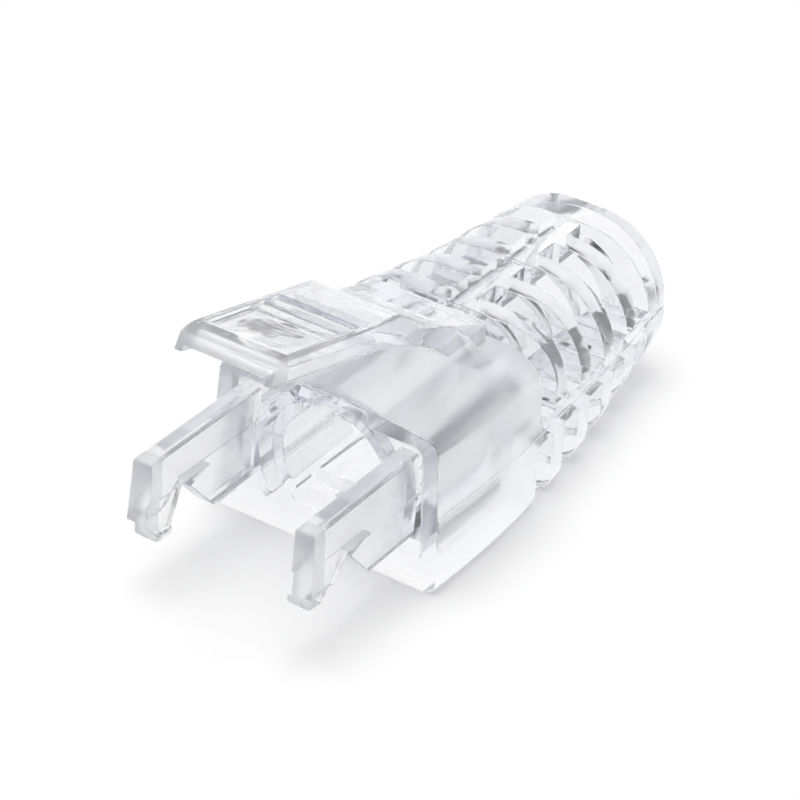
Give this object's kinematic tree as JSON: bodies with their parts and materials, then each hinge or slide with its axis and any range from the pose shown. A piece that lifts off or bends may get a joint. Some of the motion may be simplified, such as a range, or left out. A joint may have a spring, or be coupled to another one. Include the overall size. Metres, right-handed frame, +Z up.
{
  "type": "modular plug strain relief boot",
  "caption": "Clear moulded boot for an 8-way modular plug: boxed housing with two gripping arms, a sprung latch cover and a tapered slotted strain relief round the cable bore.",
  "frame": {"origin": "centre of the cable bore on the tail face", "axes": "+X from the tail to the plug along the cable, +Z up through the latch cover, +Y to the left when looking along +X"},
  "size_m": [0.0356, 0.0144, 0.0161],
  "materials": {
    "boot": "clear, glossy moulded plastic"
  },
  "bodies": {
    "root": {"boot": "boot"}
  },
  "joints": []
}
